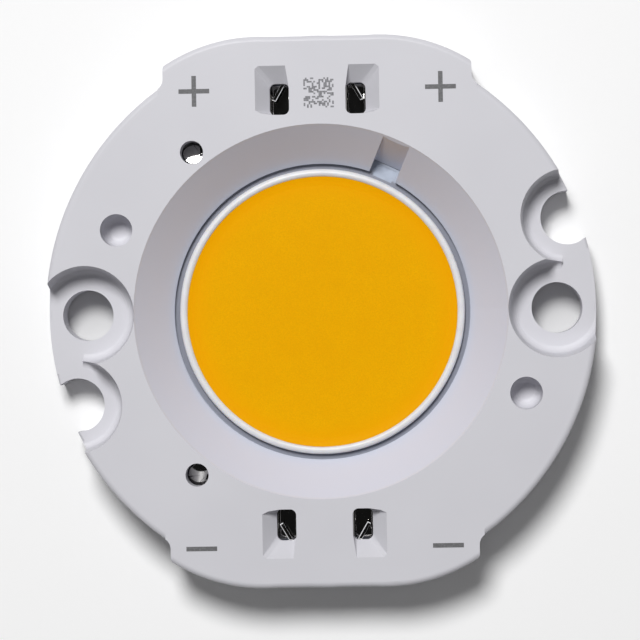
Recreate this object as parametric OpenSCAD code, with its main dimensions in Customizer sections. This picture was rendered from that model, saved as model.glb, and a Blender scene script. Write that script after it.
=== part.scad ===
// Round chip-on-board light engine with poke-in wire terminals.
// A white moulded housing is bonded over an aluminium base plate and its circuit board. The cone in
// the middle opens over the phosphor disc; each lobe holds the two wire ports of one polarity.
// Millimetres. The origin is the centre of the mounting face, +Z points out of the lit side and +Y
// towards the positive terminals.

/* [Mounting] */
// Distance between the two screw holes
screw_pitch = 31.4; // [31:0.1:31.8]
// Diameter of the screw holes
screw_hole_d = 3.4; // [3.2:0.1:3.6]
// Depth of the recesses round the screw holes and side notches
recess_depth = 2.4; // [2:0.1:2.6]
// Diameter of the side notches
notch_d = 3.6; // [3.2:0.1:3.8]
// Diameter of the two alignment holes
align_hole_d = 2.16; // [2:0.02:2.4]
// Depth of the two alignment holes
align_hole_depth = 2.1; // [1.8:0.1:2.4]

/* [Housing] */
// Diameter of the housing
housing_d = 36.6; // [36.4:0.1:37]
// Height from the mounting face to the top of the housing
total_h = 5.2; // [5.1:0.1:5.8]
// Radius of the housing's upper edge
edge_r = 0.35; // [0.2:0.05:0.5]
// Width across each terminal lobe
lobe_w = 20.48; // [20:0.1:21]
// Length of the flat end of each lobe
lobe_flat_w = 8; // [7.6:0.2:9]
// Radius of the lobe's shoulders
shoulder_r = 11.4; // [11:0.1:12]
// Radius in the corner between lobe and housing
fillet_r = 0.8; // [0.6:0.1:1]

/* [Reflector cone] */
// Diameter of the cone at the top face
cone_top_d = 24.88; // [24.4:0.1:25.2]
// Diameter of the cone at its lower lip
cone_lip_d = 19.86; // [19.6:0.1:20.2]
// Height of the lower lip above the mounting face
cone_lip_z = 2.35; // [2.2:0.05:2.6]
// Width of the notch over the temperature pad
window_w = 1.9; // [1.6:0.1:2.2]

/* [Light-emitting disc] */
// Diameter of the phosphor inside the dam
phosphor_d = 18.14; // [18:0.02:18.3]
// Width of the dam bead
dam_w = 0.54; // [0.4:0.02:0.6]
// Height of the dam above the solder mask
dam_h = 0.55; // [0.4:0.05:0.7]
// Number of die strings side by side
strings = 8; // [4:2:8]
// Number of dies in each string
dies_per_string = 12; // [6:1:12]

/* [Wire ports] */
// Distance between the two ports of a lobe
port_pitch = 5.06; // [4.8:0.02:5.4]
// Diameter of the straight wire bore
port_d = 2.3; // [2.1:0.1:2.3]
// Length of the release window
window_l = 2.12; // [1.8:0.02:2.2]
// Thickness of the contact strip
strip_t = 0.25; // [0.2:0.01:0.3]

/* [Hidden] */
$fn = 96;

// Layers of the board, as heights above the mounting face
plate_t = 1.5;
board_z = plate_t + 0.3;
copper_z = board_z + 0.07;
mask_z = board_z + 0.12;
seat_z = mask_z + 0.1;
skirt_z = 0.1;

// Outline of the base plate and the board on it
plate_r = 16;
plate_flat_x = 11.8;
plate_gap = 0.1;

// Board openings and copper
board_window_r = 8.35;
track_in_r = 8.5;
track_out_r = 9.45;
track_gap = 2;
feed_lap = 0.6;
feed_w = 1.5;
feed_out_y = 12.9;
mask_inset = 0.1;
mask_window_r = 8.95;
pad_in_y = 10.9;
pad_out_y = 12.4;

// Adhesive bead under the housing
bead_in_r = 10.05;
bead_out_r = 10.65;
bead_gap_w = 2.1;

// Trim of the terminal lobes
flat_drop = 0.03;
lobe_root_y = 5;
lobe_trim_r = 5;

// Screw recesses, side notches, alignment holes and test holes
screw_x = screw_pitch / 2;
screw_rim_r = 3.3;
screw_corner_r = 0.5;
notch_angle = 20;
notch_centre_r = 17.55;
notch_rim_r = 3.2;
notch_corner_r = 0.42;
recess_draft = 6;
align_pos = [13.5, -5.62];
align_corner_r = 0.6;
test_hole_d = 1.54;
test_hole_pos = [-8.4, 10.7];
ear_edge_r = 0.26;
ear_edge_in = 0.24;
ear_edge_end = 0.1;

// Temperature pad and the notch over it
window_angle = 65;
temp_pad_r = 9.75;
temp_pad_size = [0.85, 1.4];
window_foot_r = 10.72;
window_rim_r = 12.35;

// Wire ports and contact chambers, along y from the centre
port_z = 3.3;
lead_in_d = 2.9;
lead_in_l = 0.3;
port_foot_y = 16.4;
port_foot_d = 1.3;
port_lap = 0.05;
chamber_out_y = 15.75;
chamber_mid_y = 12.2;
chamber_in_y = 10.8;
chamber_w = 2;
chamber_z = 3.9;
foot_room_w = 1.52;
foot_room_z = 2.6;
arm_room = 0.25;
tab_room = [2.1, 0.3];
release_y = 14.13;
release_w = 1.32;
release_corner_r = 0.4;
release_corners = [for (x = [-1, 1], y = [-1, 1])
    [x * (release_w / 2 - release_corner_r), y * (window_l / 2 - release_corner_r)]];
funnel_depth = 0.95;
funnel_rim = [[-0.43, 2.2], [1.35, 2.2], [1.59, 2], [1.59, -0.75], [1.2, -0.94], [0.5, -1.05]];

// Spring contacts
contact_z = copper_z + 0.1;
cage_w = 1.7;
cage_top_z = 3.8;
cage_in_y = 12.4;
cage_fold_r = 0.1;
foot_w = 1;
foot_in_y = 11.1;
tine_z = [2.85, 3.75];
tine_root_y = 15.2;
tine_l = 1.42;
tine_turn = 150;
arm_start = [0.2, 11.75];
arm_w = 1.1;
tab_z = 3;
tab_r = 0.75;
tab_l = 1.2;
tab_rise_l = 0.7;
tab_lap = 0.25;
tab_tilt = 11.5;

// Dies and wires
die_size = [0.86, 0.5, 0.15];
string_pitch = 1.9;
array_r = 8.1;
bond_offset = 0.12;
bond_ring_r = 8.72;
wire_t = 0.05;
wire_rise = 0.3;

// Phosphor fill and dam bead
fill_z = 2.28;
fill_edge_z = 2.34;
meniscus_w = 0.6;

housing_r = housing_d / 2;
shoulder_c = [lobe_flat_w / 2, housing_r - shoulder_r];
corner_x = lobe_w / 2 - edge_r;
corner_y = shoulder_c.y + sqrt(pow(shoulder_r - edge_r, 2) - pow(corner_x - shoulder_c.x, 2));
corner_turn = atan2(corner_y - shoulder_c.y, corner_x - shoulder_c.x);
fillet_x = lobe_w / 2 + fillet_r;
fillet_y = sqrt(pow(housing_r + fillet_r, 2) - pow(fillet_x, 2));
fillet_turn = atan2(fillet_y, fillet_x);
cut = 1;
test_at = [-test_hole_pos.x - port_pitch / 2, test_hole_pos.y];
arm_l = norm(test_at - arm_start);
arm_turn = atan2(test_at.y - arm_start.y, test_at.x - arm_start.x);
dam_r = dam_w / 2;
dam_top_z = mask_z + dam_h - dam_r;
dam_centre_r = phosphor_d / 2 + sqrt(pow(dam_r, 2) - pow(fill_edge_z - dam_top_z, 2));

// ---- Housing ----

function polar(r, a) = r * [cos(a), sin(a)];
function arc(centre, r, a0, a1, steps) =
    [for (i = [0 : steps]) centre + polar(r, a0 + (a1 - a0) * i / steps)];

// Half section of a disc of radius r whose upper outer edge is rounded
module disc_section(r) {
    square([r, total_h - edge_r]);
    square([r - edge_r, total_h]);
    translate([r - edge_r, total_h - edge_r]) circle(edge_r, $fn = 48);
}

module rounded_disc(r) rotate_extrude($fn = 180) disc_section(r);

function mirrored(path) = [for (i = [len(path) - 1 : -1 : 0]) [-path[i].x, path[i].y]];

// One side of the lobe's trim outline: hollow corner, straight side and rounded corner
function lobe_side() = concat(
    [[lobe_w / 2, lobe_root_y]],
    arc([fillet_x, fillet_y], fillet_r, 180 + fillet_turn, 180, 6),
    arc([corner_x, corner_y], edge_r, 0, corner_turn, 5),
    [[corner_x, corner_y] + polar(lobe_trim_r, corner_turn)]
);

// Terminal lobe at +Y: two shoulders with a flat between them, trimmed to straight sides
module lobe() {
    intersection() {
        union() {
            for (side = [-1, 1]) translate([side * shoulder_c.x, shoulder_c.y, 0])
                rounded_disc(shoulder_r);
            translate([-shoulder_c.x, shoulder_c.y - flat_drop, 0]) rotate([90, 0, 90])
                linear_extrude(2 * shoulder_c.x) disc_section(shoulder_r);
        }
        linear_extrude(total_h + cut) polygon(concat(lobe_side(), mirrored(lobe_side())));
    }
}

module housing_blank() {
    rounded_disc(housing_r);
    for (end = [0, 1]) mirror([0, end, 0]) lobe();
}

// Centre of the rounded corner between the floor and the drafted wall of a pocket
function pocket_corner(rim_r, depth, draft, corner_r) =
    [rim_r - (depth - corner_r * (1 - sin(draft))) * tan(draft) - corner_r * cos(draft), corner_r];

// Round pocket sunk from the top face
module pocket(rim_r, depth, draft, corner_r) {
    corner = pocket_corner(rim_r, depth, draft, corner_r);
    translate([0, 0, total_h - depth]) rotate_extrude() polygon(concat(
        [[0, 0]],
        arc(corner, corner_r, -90, -draft, 5),
        [[rim_r + cut * tan(draft), depth + cut], [0, depth + cut]]
    ));
}

// Through hole with a recess for a screw head
module recessed_hole(hole_r, rim_r, corner_r) {
    translate([0, 0, -cut]) cylinder(r = hole_r, h = total_h + cut);
    pocket(rim_r, recess_depth, recess_draft, corner_r);
}

// Flat part of a recess floor, carried up to the top face
module recess_floor(rim_r, corner_r) {
    floor_r = pocket_corner(rim_r, recess_depth, recess_draft, corner_r).x;
    cylinder(r = floor_r - ear_edge_end, h = total_h);
}

// Room outside the line from screw to notch, where their two recesses run into one
module ear_room() {
    screw_c = [screw_x, 0];
    notch_c = polar(notch_centre_r, notch_angle);
    translate([0, 0, total_h - recess_depth]) linear_extrude(recess_depth + cut)
        polygon([screw_c, [housing_r + cut, 0], notch_c + [housing_r - notch_c.x, 0], notch_c]);
}

// Rounded outer edge of the recess floors in children(), where they run out through the rim
module ear_edge() {
    intersection() {
        translate([0, 0, total_h - recess_depth - ear_edge_in]) rotate_extrude() difference() {
            translate([housing_r - ear_edge_in, 0]) square([cut, ear_edge_in + cut]);
            translate([housing_r - ear_edge_in, 0]) circle(ear_edge_r, $fn = 48);
        }
        children();
    }
}

// Cone, its lower lip and the opening over the light-emitting disc
module cone_cut() {
    slope = (cone_top_d - cone_lip_d) / 2 / (total_h - cone_lip_z);
    rotate_extrude($fn = 180) polygon([
        [0, -cut],
        [cone_lip_d / 2, -cut],
        [cone_lip_d / 2, cone_lip_z],
        [cone_top_d / 2 + slope * cut, total_h + cut],
        [0, total_h + cut]
    ]);
}

// Notch in the cone wall over the temperature pad, with a steep back wall
module cone_window() {
    slope = (window_rim_r - window_foot_r) / (total_h - mask_z);
    rotate([0, 0, window_angle]) translate([0, window_w / 2, 0]) rotate([90, 0, 0])
        linear_extrude(window_w) polygon([
            [cone_lip_d / 2 - cut, mask_z],
            [window_foot_r, mask_z],
            [window_rim_r + slope * cut, total_h + cut],
            [cone_lip_d / 2 - cut, total_h + cut]
        ]);
}

module plate_outline(gap = 0) {
    intersection() {
        circle(plate_r + gap, $fn = 180);
        square(2 * [plate_flat_x + gap, plate_r + 1], center = true);
    }
}

// Shaft of the release window, from z0 to z1
module release_shaft(z0, z1) {
    translate([0, 0, z0]) linear_extrude(z1 - z0) {
        square([release_w - 2 * release_corner_r, window_l], center = true);
        square([release_w, window_l - 2 * release_corner_r], center = true);
        for (p = release_corners) translate(p) circle(release_corner_r, $fn = 48);
    }
}

// Pocket that slopes down to the release window from its outer sides; +X is away from the middle
module funnel() {
    hull() {
        for (p = release_corners) translate([p.x, p.y, total_h - funnel_depth])
            cylinder(r = release_corner_r, h = cut, $fn = 32);
        translate([0, 0, total_h]) linear_extrude(cut) polygon(funnel_rim);
    }
}

// Room for one contact, its wire bore, release window and funnel; +X is away from the middle
module port_cut() {
    translate([-chamber_w / 2, chamber_mid_y, 0])
        cube([chamber_w, chamber_out_y - chamber_mid_y, chamber_z]);
    translate([-foot_room_w / 2, chamber_in_y, 0])
        cube([foot_room_w, chamber_mid_y - chamber_in_y + cut, foot_room_z]);
    translate([0, housing_r, port_z]) rotate([90, 0, 0]) {
        flare = (lead_in_d - port_d) / lead_in_l;
        cylinder(d = port_d, h = housing_r - port_foot_y);
        translate([0, 0, -cut])
            cylinder(d1 = lead_in_d + flare * cut, d2 = port_d, h = lead_in_l + cut);
        translate([0, 0, housing_r - port_foot_y])
            cylinder(d1 = port_d, d2 = port_foot_d, h = port_foot_y - chamber_out_y + port_lap);
    }
    translate([0, release_y, 0]) {
        release_shaft(chamber_z - cut, total_h + cut);
        funnel();
    }
}

// Places children along the test arm, +X from the contact's foot to the test hole
module on_arm() translate(arm_start) rotate([0, 0, arm_turn]) children();

// Channel under the housing for a contact's test arm, and the test hole over its tab
module test_cut() {
    tab_reach = tab_r + arm_room;
    on_arm() {
        translate([0, -arm_w / 2 - arm_room, 0]) cube([arm_l, arm_w + 2 * arm_room, foot_room_z]);
        translate([arm_l - tab_room[0], -tab_reach, 0])
            cube([tab_room[0] + tab_reach, 2 * tab_reach, tab_z + strip_t + tab_room[1]]);
    }
    translate(test_at) cylinder(d = test_hole_d, h = total_h + cut);
}

// Places children at a wire port; side is -1 left or 1 right, end is 1 positive or -1 negative
module at_port(side, end)
    mirror([side < 0 ? 1 : 0, 0, 0]) mirror([0, end < 0 ? 1 : 0, 0])
        translate([port_pitch / 2, 0, 0]) children();

module housing() {
    color([0.9, 0.9, 0.93]) difference() {
        housing_blank();
        cone_cut();
        cone_window();
        translate([0, 0, -cut]) linear_extrude(seat_z + cut) plate_outline(plate_gap);
        translate([0, 0, -cut]) cube([2 * housing_d, 2 * housing_d, 2 * (cut + skirt_z)], center = true);
        for (turn = [0, 180]) rotate([0, 0, turn]) {
            translate([screw_x, 0, 0])
                recessed_hole(screw_hole_d / 2, screw_rim_r, screw_corner_r);
            rotate([0, 0, notch_angle]) translate([notch_centre_r, 0, 0])
                recessed_hole(notch_d / 2, notch_rim_r, notch_corner_r);
            ear_room();
            ear_edge() {
                ear_room();
                translate([screw_x, 0, 0]) recess_floor(screw_rim_r, screw_corner_r);
                rotate([0, 0, notch_angle]) translate([notch_centre_r, 0, 0])
                    recess_floor(notch_rim_r, notch_corner_r);
            }
            translate(align_pos) pocket(align_hole_d / 2, align_hole_depth, 0, align_corner_r);
        }
        for (end = [-1, 1]) {
            for (side = [-1, 1]) at_port(side, end) port_cut();
            at_port(-1, end) test_cut();
        }
    }
}

// ---- Board ----

module base_plate() {
    color([0.75, 0.76, 0.78]) linear_extrude(plate_t) plate_outline();
}

module circuit_board() {
    color([0.3, 0.42, 0.3]) translate([0, 0, plate_t]) linear_extrude(board_z - plate_t) difference() {
        plate_outline();
        circle(board_window_r, $fn = 180);
    }
}

// Half ring of copper with a feed to each contact foot of the positive end
module track_outline() {
    difference() {
        circle(track_out_r, $fn = 180);
        circle(track_in_r, $fn = 180);
        translate([-2 * track_out_r, track_gap / 2 - 4 * track_out_r]) square(4 * track_out_r);
    }
    for (side = [-1, 1])
        translate([side * port_pitch / 2 - feed_w / 2, track_out_r - feed_lap])
            square([feed_w, feed_out_y - track_out_r + feed_lap]);
}

module track(end) {
    mirror([0, end < 0 ? 1 : 0, 0]) translate([0, 0, board_z])
        linear_extrude(copper_z - board_z) track_outline();
}

module positive_track() color([0.8, 0.5, 0.3]) track(1);
module negative_track() color([0.8, 0.5, 0.3]) track(-1);

// Bare pad beside the dam for measuring the case temperature
module temperature_pad_outline() {
    rotate([0, 0, window_angle]) translate([temp_pad_r, -temp_pad_size.y / 2]) square(temp_pad_size);
}

module temperature_pad() {
    color([0.8, 0.82, 0.85]) translate([0, 0, board_z]) linear_extrude(copper_z - board_z)
        temperature_pad_outline();
}

module solder_mask() {
    color([0.95, 0.95, 0.96]) difference() {
        translate([0, 0, board_z]) linear_extrude(mask_z - board_z) difference() {
            plate_outline(-mask_inset);
            circle(mask_window_r, $fn = 180);
            for (side = [-1, 1], end = [0, 1]) mirror([0, end, 0])
                translate([side * port_pitch / 2 - feed_w / 2, pad_in_y])
                    square([feed_w, pad_out_y - pad_in_y]);
            temperature_pad_outline();
        }
        track(1);
        track(-1);
    }
}

// Bead that bonds the housing to the board, open at the temperature pad
module housing_adhesive() {
    color([0.85, 0.85, 0.8]) translate([0, 0, mask_z]) linear_extrude(seat_z - mask_z) difference() {
        circle(bead_out_r, $fn = 180);
        circle(bead_in_r, $fn = 180);
        rotate([0, 0, window_angle]) translate([bead_in_r - cut, -bead_gap_w / 2])
            square([bead_out_r - bead_in_r + 2 * cut, bead_gap_w]);
    }
}

// ---- Light-emitting disc ----

function string_x(i) = (i - (strings - 1) / 2) * string_pitch;
function die_reach(x) =
    sqrt(pow(array_r, 2) - pow(abs(x) + die_size.x / 2, 2)) - die_size.y / 2;
function die_y(x, j) = die_reach(x) * (2 * j / (dies_per_string - 1) - 1);

module led_dies() {
    color([0.55, 0.6, 0.85]) for (i = [0 : strings - 1], j = [0 : dies_per_string - 1])
        translate([string_x(i) - die_size.x / 2, die_y(string_x(i), j) - die_size.y / 2, plate_t])
            cube(die_size);
}

// One looped wire in the plane x, from one bond to the next
module bond_wire(x, y0, z0, y1, z1) {
    lean = 0.08;
    top = z0 + wire_rise;
    translate([x - wire_t / 2, 0, 0]) rotate([90, 0, 90]) linear_extrude(wire_t) polygon([
        [y0 - wire_t / 2, z0],
        [y0 - wire_t / 2 + lean, top],
        [y1 + wire_t / 2 - lean, top],
        [y1 + wire_t / 2, z1],
        [y1 - wire_t / 2, z1],
        [y1 - wire_t / 2 - lean, top - wire_t],
        [y0 + wire_t / 2 + lean, top - wire_t],
        [y0 + wire_t / 2, z0]
    ]);
}

module bond_wires() {
    die_top = plate_t + die_size.z;
    color([0.9, 0.75, 0.3]) for (i = [0 : strings - 1]) {
        x = string_x(i);
        last = die_y(x, dies_per_string - 1) + bond_offset;
        ring_y = sqrt(pow(bond_ring_r, 2) - pow(x, 2));
        for (j = [0 : dies_per_string - 2])
            bond_wire(x, die_y(x, j) + bond_offset, die_top, die_y(x, j + 1) - bond_offset, die_top);
        for (end = [0, 1]) mirror([0, end, 0]) bond_wire(x, last, die_top, ring_y, copper_z);
    }
}

module dam_section() {
    translate([dam_centre_r - dam_r, mask_z]) square([dam_w, dam_top_z - mask_z]);
    translate([dam_centre_r, dam_top_z]) circle(dam_r, $fn = 48);
}

module dam_ring() {
    color([0.97, 0.97, 0.97]) rotate_extrude($fn = 180) dam_section();
}

// Silicone fill with a small meniscus against the dam, moulded round the dies, wires and tracks
module phosphor() {
    color([0.95, 0.7, 0.1]) difference() {
        rotate_extrude($fn = 180) difference() {
            polygon([
                [0, plate_t],
                [board_window_r, plate_t],
                [board_window_r, board_z],
                [mask_window_r, board_z],
                [mask_window_r, mask_z],
                [dam_centre_r, mask_z],
                [dam_centre_r, fill_edge_z],
                [phosphor_d / 2, fill_edge_z],
                [phosphor_d / 2 - meniscus_w / 2, (fill_z + fill_edge_z) / 2 - 0.01],
                [phosphor_d / 2 - meniscus_w, fill_z],
                [0, fill_z]
            ]);
            dam_section();
        }
        track(1);
        track(-1);
        led_dies();
        bond_wires();
    }
}

// ---- Contacts ----

// Square-cornered strip section of width w and height h, its two lower corners rounded
module folded_section(w, h, r) {
    translate([-w / 2, r]) square([w, h - r]);
    translate([r - w / 2, 0]) square([w - 2 * r, h]);
    for (x = [-1, 1]) translate([x * (w / 2 - r), r]) circle(r, $fn = 32);
}

// Stamped spring contact of one port: a folded cage whose inner wall turns back as a tine that
// grips the wire, and a foot for the solder joint; +X is away from the middle
module spring_contact(test_arm = false) {
    tine_h = tine_z[1] - tine_z[0];
    color([0.78, 0.76, 0.72]) {
        translate([0, tine_root_y, contact_z]) rotate([90, 0, 0])
            linear_extrude(tine_root_y - cage_in_y) difference() {
                folded_section(cage_w, cage_top_z - contact_z, cage_fold_r + strip_t);
                translate([0, strip_t])
                    folded_section(cage_w - 2 * strip_t, cage_top_z, cage_fold_r);
            }
        translate([cage_fold_r + strip_t - cage_w / 2, tine_root_y, tine_z[0]])
            rotate([0, 0, 180 - tine_turn]) {
                rotate_extrude(angle = tine_turn) translate([cage_fold_r, 0]) square([strip_t, tine_h]);
                translate([cage_fold_r, -tine_l, 0]) cube([strip_t, tine_l, tine_h]);
            }
        translate([-foot_w / 2, foot_in_y, contact_z])
            cube([foot_w, cage_in_y - foot_in_y + cut / 2, strip_t]);
        if (test_arm) {
            rise = tab_z - contact_z;
            fold = arm_l - tab_l;
            arm_end = arm_l - tab_r + tab_lap;
            on_arm() translate([0, arm_w / 2, contact_z]) rotate([90, 0, 0]) linear_extrude(arm_w)
                polygon([
                    [0, 0],
                    [fold - tab_rise_l, 0],
                    [fold, rise],
                    [arm_end, rise],
                    [arm_end, rise + strip_t],
                    [fold - 0.15, rise + strip_t],
                    [fold - tab_rise_l - 0.15, strip_t],
                    [0, strip_t]
                ]);
            translate([test_at.x, test_at.y, tab_z]) rotate([-tab_tilt, 0, 0])
                cylinder(r = tab_r, h = strip_t);
        }
    }
}

module positive_contact_left() at_port(-1, 1) spring_contact(test_arm = true);
module positive_contact_right() at_port(1, 1) spring_contact();
module negative_contact_left() at_port(-1, -1) spring_contact(test_arm = true);
module negative_contact_right() at_port(1, -1) spring_contact();

// Solder under each contact foot, with a fillet up the end of the foot
module solder_joints() {
    solder_w = 1.3;
    color([0.7, 0.71, 0.74]) for (side = [-1, 1], end = [-1, 1]) at_port(side, end)
        translate([-solder_w / 2, 0, 0]) rotate([90, 0, 90]) linear_extrude(solder_w) polygon([
            [foot_in_y - 0.18, copper_z],
            [cage_in_y - 0.1, copper_z],
            [cage_in_y - 0.1, contact_z],
            [foot_in_y, contact_z],
            [foot_in_y, contact_z + strip_t],
            [foot_in_y - 0.1, contact_z]
        ]);
}

housing();
base_plate();
circuit_board();
positive_track();
negative_track();
solder_mask();
temperature_pad();
housing_adhesive();
led_dies();
bond_wires();
phosphor();
dam_ring();
positive_contact_left();
positive_contact_right();
negative_contact_left();
negative_contact_right();
solder_joints();
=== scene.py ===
# Round chip-on-board light engine with poke-in wire terminals: finishes, marks, light and camera.
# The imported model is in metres, +Z out of the lit side and +Y towards the positive terminals.
import math
import random

import bpy
from mathutils import Matrix, Vector


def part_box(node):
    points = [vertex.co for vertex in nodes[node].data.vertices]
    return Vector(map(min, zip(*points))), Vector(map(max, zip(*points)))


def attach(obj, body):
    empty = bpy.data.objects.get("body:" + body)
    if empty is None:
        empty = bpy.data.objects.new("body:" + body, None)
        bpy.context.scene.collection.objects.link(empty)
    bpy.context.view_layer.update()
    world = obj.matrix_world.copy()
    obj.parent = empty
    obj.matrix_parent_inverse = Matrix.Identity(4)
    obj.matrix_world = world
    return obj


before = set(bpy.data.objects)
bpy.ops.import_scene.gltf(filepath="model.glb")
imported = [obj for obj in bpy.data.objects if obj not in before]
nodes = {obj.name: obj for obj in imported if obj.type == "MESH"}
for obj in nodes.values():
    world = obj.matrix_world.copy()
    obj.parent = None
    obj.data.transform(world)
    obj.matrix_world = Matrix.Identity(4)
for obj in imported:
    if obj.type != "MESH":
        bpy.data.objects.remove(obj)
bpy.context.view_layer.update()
bpy.ops.object.select_all(action="DESELECT")


# ---- Base plate ----
# Blanked from rolled aluminium strip, 1.5 mm thick. It carries the dies and is pressed against the
# heatsink. The rolling leaves fine streaks along its length.

MM = 0.001


def finish(name, colour, roughness, metallic=0.0):
    """A material with one Principled shader, and its node tree and shader."""
    material = bpy.data.materials.new(name)
    material.use_nodes = True
    shader = material.node_tree.nodes["Principled BSDF"]
    shader.inputs["Base Color"].default_value = (*colour, 1)
    shader.inputs["Roughness"].default_value = roughness
    shader.inputs["Metallic"].default_value = metallic
    return material, material.node_tree, shader


def part_coordinates(tree, stretch=(1, 1, 1)):
    """The part's own coordinates, each axis divided by its stretch."""
    coordinates = tree.nodes.new("ShaderNodeTexCoord")
    mapping = tree.nodes.new("ShaderNodeMapping")
    mapping.inputs["Scale"].default_value = [1 / s for s in stretch]
    tree.links.new(coordinates.outputs["Object"], mapping.inputs["Vector"])
    return mapping.outputs["Vector"]


def grain(tree, size, detail=4, stretch=(1, 1, 1)):
    """Noise whose features are about size across, from 0 to 1."""
    noise = tree.nodes.new("ShaderNodeTexNoise")
    noise.inputs["Scale"].default_value = 1 / size
    noise.inputs["Detail"].default_value = detail
    tree.links.new(part_coordinates(tree, stretch), noise.inputs["Vector"])
    return noise.outputs["Fac"]


def spread(tree, value, low, high, from_low=0.3, from_high=0.7):
    """value's usual range, stretched to run from low to high."""
    stretch = tree.nodes.new("ShaderNodeMapRange")
    stretch.inputs["From Min"].default_value = from_low
    stretch.inputs["From Max"].default_value = from_high
    stretch.inputs["To Min"].default_value = low
    stretch.inputs["To Max"].default_value = high
    tree.links.new(value, stretch.inputs["Value"])
    return stretch.outputs["Result"]


def blend_colours(tree, factor, first, second):
    """Runs from first to second as factor goes from 0 to 1; each is a colour or a socket."""
    mix = tree.nodes.new("ShaderNodeMix")
    mix.data_type = "RGBA"
    tree.links.new(factor, mix.inputs["Factor"])
    for socket, colour in (("A", first), ("B", second)):
        target = [s for s in mix.inputs if s.name == socket and s.type == "RGBA"][0]
        if isinstance(colour, bpy.types.NodeSocket):
            tree.links.new(colour, target)
        else:
            target.default_value = (*colour, 1)
    return [s for s in mix.outputs if s.type == "RGBA"][0]


def roughen(tree, shader, height, depth, strength=1.0):
    """Bumps of the given depth in metres, from a height of 0 to 1."""
    bump = tree.nodes.new("ShaderNodeBump")
    bump.inputs["Distance"].default_value = depth
    bump.inputs["Strength"].default_value = strength
    tree.links.new(height, bump.inputs["Height"])
    tree.links.new(bump.outputs["Normal"], shader.inputs["Normal"])


def paint(tree, shader, colour):
    """Links a colour socket to the shader's own colour."""
    tree.links.new(colour, shader.inputs["Base Color"])


def dress(node, material):
    """Gives a CAD node its material."""
    nodes[node].data.materials.clear()
    nodes[node].data.materials.append(material)


aluminium, tree, shader = finish("rolled_aluminium", (0.72, 0.73, 0.75), 0.34, metallic=1.0)
streaks = grain(tree, 0.12 * MM, stretch=(30, 1, 1))
clouds = grain(tree, 4 * MM)
cloudy = blend_colours(tree, spread(tree, clouds, 0, 1), (0.66, 0.67, 0.69), (0.78, 0.79, 0.81))
paint(tree, shader, cloudy)
tree.links.new(spread(tree, streaks, 0.26, 0.44), shader.inputs["Roughness"])
roughen(tree, shader, streaks, 0.004 * MM)
dress("base_plate", aluminium)


# ---- Circuit board ----
# Glass cloth and resin laminate bonded to the plate, with a round window for the dies. The cloth
# shows as a faint weave in its surface.

WEAVE_PITCH = 0.8 * MM
laminate, tree, shader = finish("glass_laminate", (0.21, 0.25, 0.12), 0.5)
weave = tree.nodes.new("ShaderNodeTexBrick")
weave.inputs["Scale"].default_value = 1 / WEAVE_PITCH
weave.inputs["Color1"].default_value = (0.24, 0.28, 0.14, 1)
weave.inputs["Color2"].default_value = (0.19, 0.23, 0.11, 1)
weave.inputs["Mortar"].default_value = (0.15, 0.18, 0.09, 1)
weave.inputs["Mortar Size"].default_value = 0.03
tree.links.new(part_coordinates(tree), weave.inputs["Vector"])
paint(tree, shader, weave.outputs["Color"])
roughen(tree, shader, weave.outputs["Fac"], 0.006 * MM, 0.4)
dress("circuit_board", laminate)


# ---- Copper tracks ----
# Two half rings etched from copper foil, each with feeds to the contact pads of its own polarity.
# The foil has a dull matt side and darkens unevenly before it is coated.

copper, tree, shader = finish("etched_copper", (0.9, 0.55, 0.4), 0.35, metallic=1.0)
tarnish = spread(tree, grain(tree, 0.6 * MM, detail=6), 0, 1, 0.4, 0.75)
paint(tree, shader, blend_colours(tree, tarnish, (0.9, 0.56, 0.42), (0.6, 0.32, 0.22)))
tree.links.new(spread(tree, grain(tree, 0.05 * MM), 0.28, 0.5), shader.inputs["Roughness"])
roughen(tree, shader, grain(tree, 0.04 * MM), 0.002 * MM)
for node in ("positive_track", "negative_track"):
    dress(node, copper)


# ---- Solder mask ----
# White printed resist over board and copper, open at the pads and round the dies. It is glossy and
# sinks slightly where the print is thin. In the gap round the dam it is painted darker, as painted
# shade of the narrow gap between the dam and the housing's lip.

GAP_SHADE_END = 9.85 * MM
GAP_SHADE_GONE = 10.0 * MM


def from_axis(tree, inner, outer):
    """0 nearer the part's axis than inner, 1 farther from it than outer."""
    coordinates = tree.nodes.new("ShaderNodeTexCoord")
    flatten = tree.nodes.new("ShaderNodeVectorMath")
    flatten.operation = "MULTIPLY"
    flatten.inputs[1].default_value = (1, 1, 0)
    radius = tree.nodes.new("ShaderNodeVectorMath")
    radius.operation = "LENGTH"
    tree.links.new(coordinates.outputs["Object"], flatten.inputs[0])
    tree.links.new(flatten.outputs[0], radius.inputs[0])
    return spread(tree, radius.outputs["Value"], 0, 1, inner, outer)


mask, tree, shader = finish("white_resist", (0.39, 0.43, 0.51), 0.32)
print_tone = blend_colours(
    tree, spread(tree, grain(tree, 1.5 * MM), 0, 1), (0.37, 0.41, 0.49), (0.41, 0.45, 0.53)
)
# Painted shade: inside 9.85 mm from the axis the resist is painted dark grey for the shaded gap.
past_gap_shade = from_axis(tree, GAP_SHADE_END, GAP_SHADE_GONE)
paint(tree, shader, blend_colours(tree, past_gap_shade, (0.24, 0.25, 0.3), print_tone))
roughen(tree, shader, grain(tree, 0.5 * MM, detail=2), 0.01 * MM, 0.5)
shader.inputs["Coat Weight"].default_value = 0.3
shader.inputs["Coat Roughness"].default_value = 0.15
dress("solder_mask", mask)


# ---- Temperature pad ----
# Bare copper pad by the dam, tinned with hot solder and levelled. A thermocouple is held on it to
# take the case temperature.

tinned, tree, shader = finish("levelled_tin", (0.38, 0.42, 0.5), 0.6, metallic=0.4)
waves = grain(tree, 0.4 * MM, detail=2)
tree.links.new(spread(tree, waves, 0.5, 0.7), shader.inputs["Roughness"])
roughen(tree, shader, waves, 0.006 * MM, 0.5)
dress("temperature_pad", tinned)


# ---- Dies ----
# Blue emitter dies on sapphire, die-bonded to the plate in parallel strings. Narrow metal fingers
# spread the current over each.

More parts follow.
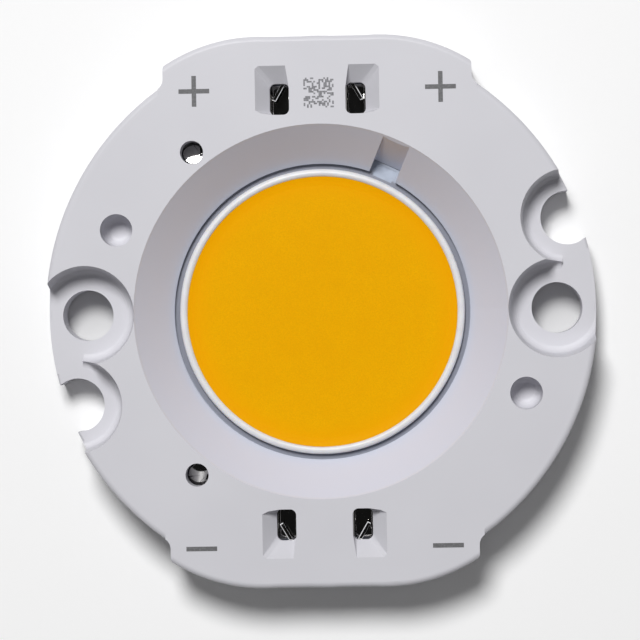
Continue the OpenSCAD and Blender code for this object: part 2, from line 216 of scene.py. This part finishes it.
FINGER_PITCH = 1.6 * MM
sapphire, tree, shader = finish("emitter_die", (0.16, 0.22, 0.5), 0.12)
fingers = tree.nodes.new("ShaderNodeTexWave")
fingers.bands_direction = "X"
fingers.inputs["Scale"].default_value = 1 / FINGER_PITCH
fingers.inputs["Distortion"].default_value = 0
tree.links.new(part_coordinates(tree), fingers.inputs["Vector"])
metal_finger = spread(tree, fingers.outputs["Fac"], 0, 1, 0.9, 0.96)
paint(tree, shader, blend_colours(tree, metal_finger, (0.16, 0.22, 0.5), (0.8, 0.7, 0.45)))
tree.links.new(metal_finger, shader.inputs["Metallic"])
dress("led_dies", sapphire)


# ---- Bond wires ----
# Gold wire from die to die along each string, and out to the copper half rings at both ends.
# Drawing leaves faint lines along it.

gold, tree, shader = finish("drawn_gold", (1.0, 0.77, 0.34), 0.2, metallic=1.0)
draw_lines = grain(tree, 0.02 * MM, stretch=(1, 12, 1))
tree.links.new(spread(tree, draw_lines, 0.14, 0.3), shader.inputs["Roughness"])
dress("bond_wires", gold)


# ---- Phosphor fill ----
# Silicone loaded with yellow phosphor powder, poured inside the dam and cured. The powder gives it
# a fine grain, and it sits deeper and more orange where the fill climbs the dam.

CLIMB_W = 1.6 * MM
CLIMB_TOP_W = 0.2 * MM
fill_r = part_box("phosphor")[1].x
phosphor, tree, shader = finish("phosphor_silicone", (0.79, 0.385, 0.003), 0.42)
shader.inputs["Specular IOR Level"].default_value = 0.02
edge = from_axis(tree, fill_r - CLIMB_W, fill_r - CLIMB_TOP_W)
powder = spread(tree, grain(tree, 0.09 * MM, detail=6), 0, 1)
body = blend_colours(tree, powder, (0.81, 0.39, 0.0005), (0.91, 0.45, 0.001))
clouded = blend_colours(
    tree, spread(tree, grain(tree, 1.4 * MM, detail=3), 0, 0.35), body, (0.82, 0.38, 0.0005)
)
paint(tree, shader, blend_colours(tree, edge, clouded, (0.88, 0.39, 0.0005)))
shader.inputs["Subsurface Weight"].default_value = 0.15
shader.inputs["Subsurface Scale"].default_value = 0.3 * MM
shader.inputs["Subsurface Radius"].default_value = (1, 0.5, 0.05)
tree.links.new(spread(tree, grain(tree, 0.12 * MM), 0.34, 0.52), shader.inputs["Roughness"])
roughen(tree, shader, grain(tree, 0.12 * MM, detail=6), 0.006 * MM, 0.6)
dress("phosphor", phosphor)


# ---- Dam ----
# A bead of white silicone, dispensed in a ring and cured before the fill is poured. It is glossy
# and a little translucent.

dam_silicone, tree, shader = finish("dam_silicone", (0.74, 0.74, 0.75), 0.4)
milkiness = spread(tree, grain(tree, 0.8 * MM), 0, 1)
paint(tree, shader, blend_colours(tree, milkiness, (0.71, 0.7, 0.71), (0.77, 0.77, 0.78)))
shader.inputs["Subsurface Weight"].default_value = 0.4
shader.inputs["Subsurface Scale"].default_value = 0.4 * MM
shader.inputs["Subsurface Radius"].default_value = (1, 0.8, 0.6)
roughen(tree, shader, grain(tree, 0.5 * MM, detail=1), 0.02 * MM, 0.4)
dress("dam_ring", dam_silicone)


# ---- Spring contacts ----
# Stamped and folded from tin-plated spring strip. Each grips a stripped wire with its tine; the two
# left ones carry an arm to a test point. All edges are slightly round. The tine's rounded top edges
# are matt and painted near white, partly a sheared finish and partly painted highlight lines.

EDGE_R = 0.05 * MM
TINE_TOP = 3.75 * MM
SEAM = 0.001 * MM
EDGE_SLOPE = 0.6
EDGE_SLOPE_REACH = 0.35


def combine(tree, operation, first, second):
    """One number from two, by a maths node's operation."""
    joined = tree.nodes.new("ShaderNodeMath")
    joined.operation = operation
    tree.links.new(first, joined.inputs[0])
    tree.links.new(second, joined.inputs[1])
    return joined.outputs[0]


def within(tree, value, centre, reach):
    """1 where value is no farther than reach from centre, otherwise 0."""
    test = tree.nodes.new("ShaderNodeMath")
    test.operation = "COMPARE"
    test.inputs[1].default_value = centre
    test.inputs[2].default_value = reach
    tree.links.new(value, test.inputs[0])
    return test.outputs[0]


def z_of(tree, vector):
    """The z part of a vector."""
    split = tree.nodes.new("ShaderNodeSeparateXYZ")
    tree.links.new(vector, split.inputs[0])
    return split.outputs["Z"]


plated, tree, shader = finish("tinned_spring_strip", (0.54, 0.53, 0.52), 0.06, metallic=1.0)
rolling = grain(tree, 0.03 * MM, stretch=(1, 15, 1))
polished = spread(tree, rolling, 0.04, 0.08)
surface = tree.nodes.new("ShaderNodeNewGeometry")
height = z_of(tree, part_coordinates(tree))
slope = z_of(tree, surface.outputs["True Normal"])
# Painted highlight: the tine's top edges are made matt and painted near white, to show as lines.
sheared_highlight = combine(
    tree,
    "MULTIPLY",
    within(tree, height, TINE_TOP - EDGE_R / 2, EDGE_R / 2 - SEAM),
    within(tree, slope, EDGE_SLOPE, EDGE_SLOPE_REACH),
)
brightness = spread(tree, grain(tree, 0.5 * MM), 0, 1)
tin = blend_colours(tree, brightness, (0.48, 0.47, 0.46), (0.6, 0.59, 0.58))
paint(tree, shader, blend_colours(tree, sheared_highlight, tin, (0.92, 0.92, 0.94)))
tree.links.new(spread(tree, sheared_highlight, 1, 0.2, 0, 1), shader.inputs["Metallic"])
matt = combine(tree, "MAXIMUM", polished, spread(tree, sheared_highlight, 0, 0.5, 0, 1))
tree.links.new(matt, shader.inputs["Roughness"])
for node in (
    "positive_contact_left",
    "positive_contact_right",
    "negative_contact_left",
    "negative_contact_right",
):
    dress(node, plated)
    seams = nodes[node].modifiers.new("seams", "WELD")
    seams.merge_threshold = SEAM
    edges = nodes[node].modifiers.new("edges", "BEVEL")
    edges.width = EDGE_R
    edges.segments = 2
    edges.use_clamp_overlap = False
    edges.limit_method = "ANGLE"
    edges.angle_limit = math.radians(50)


# ---- Solder joints ----
# Solder paste printed on the pads and reflowed under each contact foot. It sets bright, with faint
# frosting.

solder, tree, shader = finish("reflowed_solder", (0.7, 0.71, 0.73), 0.25, metallic=1.0)
frost = grain(tree, 0.15 * MM, detail=5)
tree.links.new(spread(tree, frost, 0.16, 0.42), shader.inputs["Roughness"])
roughen(tree, shader, frost, 0.01 * MM)
dress("solder_joints", solder)


# ---- Housing adhesive ----
# A bead of clear silicone, laid on the board and cured with the housing pressed down on it. It
# bonds the two together and stays slightly soft.

adhesive, tree, shader = finish("clear_silicone", (0.62, 0.63, 0.6), 0.3)
shader.inputs["Transmission Weight"].default_value = 0.35
shader.inputs["IOR"].default_value = 1.41
roughen(tree, shader, grain(tree, 0.3 * MM, detail=2), 0.02 * MM, 0.5)
dress("housing_adhesive", adhesive)


# ---- Housing ----
# One moulding in white heat-resistant plastic: reflector cone, ears, terminal lobes and wire ports.
# The spark-eroded mould leaves it satin with a very fine grain. The cone is painted a cooler tint,
# painted light that offsets the orange light the phosphor bounces onto it.

CONE_COUNTER_TINT_END = 12.3 * MM
COUNTER_TINT_GONE = 12.5 * MM
moulded, tree, shader = finish("moulded_white", (0.63, 0.62, 0.665), 0.45)
tone = spread(tree, grain(tree, 7 * MM, detail=2), 0, 1)
body = blend_colours(tree, tone, (0.615, 0.61, 0.65), (0.64, 0.635, 0.675))
# Painted light: the cone is painted bluer to cancel the orange light bounced from the phosphor.
past_cone_counter_tint = from_axis(tree, CONE_COUNTER_TINT_END, COUNTER_TINT_GONE)
paint(tree, shader, blend_colours(tree, past_cone_counter_tint, (0.64, 0.66, 0.76), body))
texture = grain(tree, 0.07 * MM, detail=3)
tree.links.new(spread(tree, texture, 0.4, 0.56), shader.inputs["Roughness"])
roughen(tree, shader, texture, 0.003 * MM, 0.5)
dress("housing", moulded)


# ---- Polarity marks ----
# A plus by each positive port and a minus by each negative one, pad-printed in dark grey ink on the
# top face.

INK_T = 0.012 * MM
STROKE = 0.3 * MM
ARM = 0.87 * MM
MARK_X = 8.17 * MM
PLUS_Y = 14.74 * MM
MINUS_Y = -15.6 * MM
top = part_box("housing")[1].z

ink, tree, shader = finish("grey_ink", (0.12, 0.12, 0.125), 0.55)
coverage = spread(tree, grain(tree, 0.12 * MM, detail=5), 0, 1, 0.45, 0.85)
paint(tree, shader, blend_colours(tree, coverage, (0.11, 0.11, 0.115), (0.2, 0.2, 0.21)))
roughen(tree, shader, coverage, 0.004 * MM)


def select_faces(piece, test):
    """Selects, in edit mode, the faces of piece that pass test."""
    bpy.ops.object.mode_set(mode="OBJECT")
    for polygon in piece.data.polygons:
        polygon.select = test(polygon)
    bpy.ops.object.mode_set(mode="EDIT")


def settle(piece, name, material):
    """Names a new piece, applies its place and gives it its material."""
    bpy.ops.object.transform_apply(location=True, rotation=True, scale=True)
    piece.name = name
    piece.data.name = name
    piece.data.materials.append(material)
    piece.select_set(False)
    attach(piece, "root")


def polarity_mark(name, x, y, plus):
    """A printed plus or minus, centred on x and y."""
    bpy.ops.mesh.primitive_cube_add(
        size=1, location=(x, y, top + INK_T / 2), scale=(STROKE, STROKE, INK_T)
    )
    mark = bpy.context.object
    bpy.ops.object.transform_apply(location=False, rotation=False, scale=True)
    bpy.ops.object.mode_set(mode="EDIT")
    bpy.ops.mesh.select_mode(type="FACE")
    sides = (0, 1) if plus else (0,)
    select_faces(mark, lambda f: any(abs(f.normal[axis]) > 0.9 for axis in sides))
    bpy.ops.mesh.extrude_faces_move(TRANSFORM_OT_shrink_fatten={"value": ARM})
    bpy.ops.mesh.select_all(action="SELECT")
    bpy.ops.mesh.normals_make_consistent(inside=False)
    bpy.ops.object.mode_set(mode="OBJECT")
    settle(mark, name, ink)


for side, hand in ((-1, "left"), (1, "right")):
    polarity_mark(f"plus_mark_{hand}", side * MARK_X, PLUS_Y, True)
    polarity_mark(f"minus_mark_{hand}", side * MARK_X, MINUS_Y, False)


# ---- Trace patch ----
# A square of small laser-burnt cells between the positive ports, where a maker's tracing code goes.
# These cells are a plain random pattern that says nothing.

PATCH = 2.0 * MM
PATCH_X = 0.1 * MM
PATCH_Y = 14.5 * MM
CELLS = 18
BURNT_SHARE = 0.52
burnt, tree, shader = finish("laser_burn", (0.2, 0.2, 0.21), 0.6)
depth = spread(tree, grain(tree, 0.1 * MM, detail=4), 0, 1)
paint(tree, shader, blend_colours(tree, depth, (0.12, 0.12, 0.13), (0.3, 0.3, 0.32)))
roughen(tree, shader, depth, 0.004 * MM)
bpy.ops.mesh.primitive_grid_add(
    x_subdivisions=CELLS,
    y_subdivisions=CELLS,
    size=PATCH,
    location=(PATCH_X, PATCH_Y, top + INK_T / 2),
)
patch = bpy.context.object
draw = random.Random(7)
select_faces(patch, lambda f: draw.random() < BURNT_SHARE)
bpy.ops.mesh.delete(type="FACE")
bpy.ops.object.mode_set(mode="OBJECT")
film = patch.modifiers.new("film", "SOLIDIFY")
film.thickness = INK_T / 2
bpy.ops.object.modifier_apply(modifier="film")
settle(patch, "trace_patch", burnt)


# ---- Floor, light and camera ----
# The part lies on a pale table under one soft lamp above the positive end, in dim even light.
# Metal mirrors pale walls under a dark ceiling. The table shows white, except through the screw
# holes, where it is painted pale grey as painted shade inside the holes. The camera looks almost
# straight down.

TABLE = 0.6
SCREW_X = 15.7 * MM
HOLE_SHADE_END = 2.1 * MM
WHITE_START = 2.3 * MM
bpy.ops.mesh.primitive_plane_add(size=TABLE, location=(0, 0, 0))
floor = bpy.context.object
floor.name = "floor"
pale, tree, shader = finish("pale_table", (0.7, 0.7, 0.7), 0.9)
shader.inputs["Specular IOR Level"].default_value = 0
rays = tree.nodes.new("ShaderNodeLightPath")
white = combine(tree, "MAXIMUM", rays.outputs["Is Camera Ray"], rays.outputs["Is Glossy Ray"])
# Painted shade: within 2.1 mm of each screw axis the table stays grey for camera and glossy rays.
for side in (-1, 1):
    from_hole = tree.nodes.new("ShaderNodeVectorMath")
    from_hole.operation = "DISTANCE"
    from_hole.inputs[1].default_value = (side * SCREW_X, 0, 0)
    place = tree.nodes.new("ShaderNodeTexCoord")
    tree.links.new(place.outputs["Object"], from_hole.inputs[0])
    outside_hole_shade = spread(tree, from_hole.outputs["Value"], 0, 1, HOLE_SHADE_END, WHITE_START)
    white = combine(tree, "MULTIPLY", white, outside_hole_shade)
paint(tree, shader, blend_colours(tree, white, (0.66, 0.66, 0.66), (0.99, 0.99, 0.99)))
floor.data.materials.append(pale)
floor.select_set(False)

FILL = 0.14
WALLS_END = 0.5
CEILING_START = 0.9
world = bpy.data.worlds.new("dim_room")
bpy.context.scene.world = world
world.use_nodes = True
tree = world.node_tree
room = tree.nodes["Background"]
rays = tree.nodes.new("ShaderNodeLightPath")
direction = tree.nodes.new("ShaderNodeTexCoord")
upward = z_of(tree, direction.outputs["Generated"])
walls = spread(tree, upward, 1, 0.01, WALLS_END, CEILING_START)
mirrored = combine(
    tree, "MAXIMUM", rays.outputs["Is Glossy Ray"], rays.outputs["Is Transmission Ray"]
)
around = blend_colours(tree, mirrored, (FILL, FILL, FILL), walls)
tree.links.new(
    blend_colours(tree, rays.outputs["Is Camera Ray"], around, (1, 1, 1)), room.inputs["Color"]
)

LAMP_AZIMUTH = math.radians(105)
LAMP_ELEVATION = math.radians(63)
LAMP_DISTANCE = 0.5
LAMP_SIZE = 0.167
KEY = 0.89
lamp_data = bpy.data.lights.new("soft_lamp", "AREA")
lamp_data.shape = "DISK"
lamp_data.size = LAMP_SIZE
lamp_data.energy = KEY * math.pi ** 2 * LAMP_DISTANCE ** 2
lamp = bpy.data.objects.new("soft_lamp", lamp_data)
towards_lamp = Vector((
    math.cos(LAMP_ELEVATION) * math.cos(LAMP_AZIMUTH),
    math.cos(LAMP_ELEVATION) * math.sin(LAMP_AZIMUTH),
    math.sin(LAMP_ELEVATION),
))
lamp.location = towards_lamp * LAMP_DISTANCE
lamp.rotation_euler = towards_lamp.to_track_quat("Z", "Y").to_euler()
bpy.context.collection.objects.link(lamp)

FRAME_W = 42.37 * MM
AIM_X = -0.066 * MM
AIM_Y = -0.563 * MM
LENS = 180
SENSOR_W = 36
CAMERA_TILT = math.radians(2)
CAMERA_ROLL = math.radians(1)
camera_data = bpy.data.cameras.new("camera")
camera_data.lens = LENS
camera_data.sensor_width = SENSOR_W
camera_data.clip_start = 0.01
distance = FRAME_W * LENS / SENSOR_W
camera = bpy.data.objects.new("camera", camera_data)
aim = Vector((AIM_X, AIM_Y, top))
turn = Matrix.Rotation(CAMERA_TILT, 4, "Y") @ Matrix.Rotation(-CAMERA_ROLL, 4, "Z")
camera.matrix_world = Matrix.Translation(aim) @ turn @ Matrix.Translation((0, 0, distance))
bpy.context.collection.objects.link(camera)
bpy.context.scene.camera = camera
bpy.context.scene.view_settings.view_transform = "Standard"
